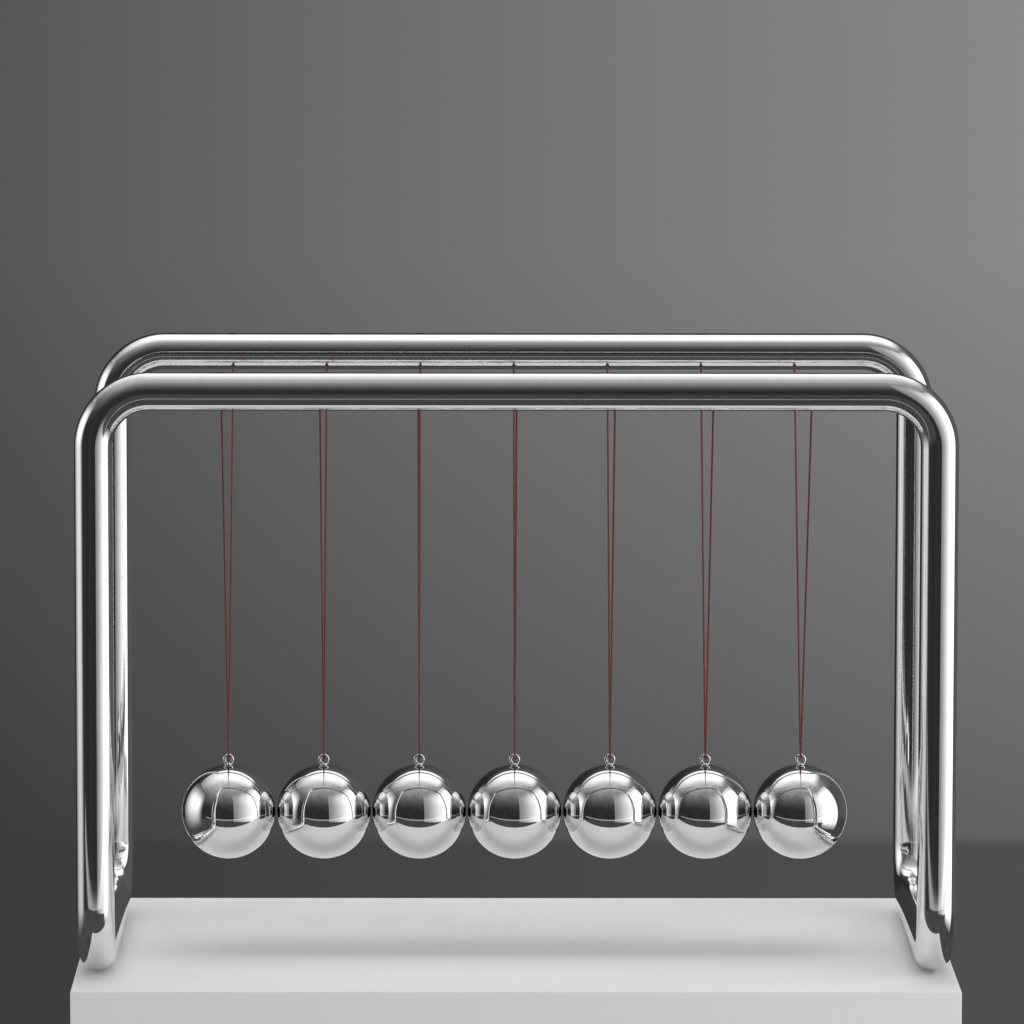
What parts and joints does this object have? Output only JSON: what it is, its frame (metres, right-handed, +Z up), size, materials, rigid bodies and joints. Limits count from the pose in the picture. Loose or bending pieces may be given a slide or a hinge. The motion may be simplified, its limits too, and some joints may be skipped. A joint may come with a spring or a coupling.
{
  "type": "newtons cradle",
  "caption": "Desk Newton's cradle: bent chrome tube frame with two top bars that carry a row of polished steel balls on V-shaped red threads, each free to swing along the row.",
  "frame": {"origin": "on the ground under the pads, midway between the four legs", "axes": "+X along the row of balls, +Y from the front hoop to the rear hoop, +Z up"},
  "size_m": [0.461, 0.236, 0.321],
  "materials": {
    "chrome_plate": "mirror chrome plate on bent steel tube",
    "polished_steel": "mirror polished bearing steel",
    "eye_plate": "bright plated screw eye",
    "plain_steel": "plain turned steel sleeve",
    "red_nylon": "fine twisted red nylon thread",
    "rubber": "dark matt rubber"
  },
  "bodies": {
    "frame": {"front_hoop": "chrome_plate", "rear_hoop": "chrome_plate", "spigot_left": "plain_steel", "spigot_right": "plain_steel", "pad_front_left": "rubber", "pad_front_right": "rubber", "pad_rear_left": "rubber", "pad_rear_right": "rubber", "front_knot_1": "red_nylon", "rear_knot_1": "red_nylon", "front_knot_2": "red_nylon", "rear_knot_2": "red_nylon", "front_knot_3": "red_nylon", "rear_knot_3": "red_nylon", "front_knot_4": "red_nylon", "rear_knot_4": "red_nylon", "front_knot_5": "red_nylon", "rear_knot_5": "red_nylon", "front_knot_6": "red_nylon", "rear_knot_6": "red_nylon", "front_knot_7": "red_nylon", "rear_knot_7": "red_nylon"},
    "pendulum_1": {"ball_1": "polished_steel", "eye_1": "eye_plate", "thread_1": "red_nylon"},
    "pendulum_2": {"ball_2": "polished_steel", "eye_2": "eye_plate", "thread_2": "red_nylon"},
    "pendulum_3": {"ball_3": "polished_steel", "eye_3": "eye_plate", "thread_3": "red_nylon"},
    "pendulum_4": {"ball_4": "polished_steel", "eye_4": "eye_plate", "thread_4": "red_nylon"},
    "pendulum_5": {"ball_5": "polished_steel", "eye_5": "eye_plate", "thread_5": "red_nylon"},
    "pendulum_6": {"ball_6": "polished_steel", "eye_6": "eye_plate", "thread_6": "red_nylon"},
    "pendulum_7": {"ball_7": "polished_steel", "eye_7": "eye_plate", "thread_7": "red_nylon"}
  },
  "joints": [
    {"name": "swing_1", "type": "hinge", "parent": "frame", "child": "pendulum_1", "pos_m": [-0.1539, 0, 0.30329], "axis": [0, -1, 0], "range_deg": [-75, 0.1]},
    {"name": "swing_2", "type": "hinge", "parent": "frame", "child": "pendulum_2", "pos_m": [-0.1026, 0, 0.30329], "axis": [0, -1, 0], "range_deg": [-0.1, 0.1]},
    {"name": "swing_3", "type": "hinge", "parent": "frame", "child": "pendulum_3", "pos_m": [-0.0513, 0, 0.30329], "axis": [0, -1, 0], "range_deg": [-0.1, 0.1]},
    {"name": "swing_4", "type": "hinge", "parent": "frame", "child": "pendulum_4", "pos_m": [0, 0, 0.30329], "axis": [0, -1, 0], "range_deg": [-0.1, 0.1]},
    {"name": "swing_5", "type": "hinge", "parent": "frame", "child": "pendulum_5", "pos_m": [0.0513, 0, 0.30329], "axis": [0, -1, 0], "range_deg": [-0.1, 0.1]},
    {"name": "swing_6", "type": "hinge", "parent": "frame", "child": "pendulum_6", "pos_m": [0.1026, 0, 0.30329], "axis": [0, -1, 0], "range_deg": [-0.1, 0.1]},
    {"name": "swing_7", "type": "hinge", "parent": "frame", "child": "pendulum_7", "pos_m": [0.1539, 0, 0.30329], "axis": [0, -1, 0], "range_deg": [-0.1, 75]}
  ]
}
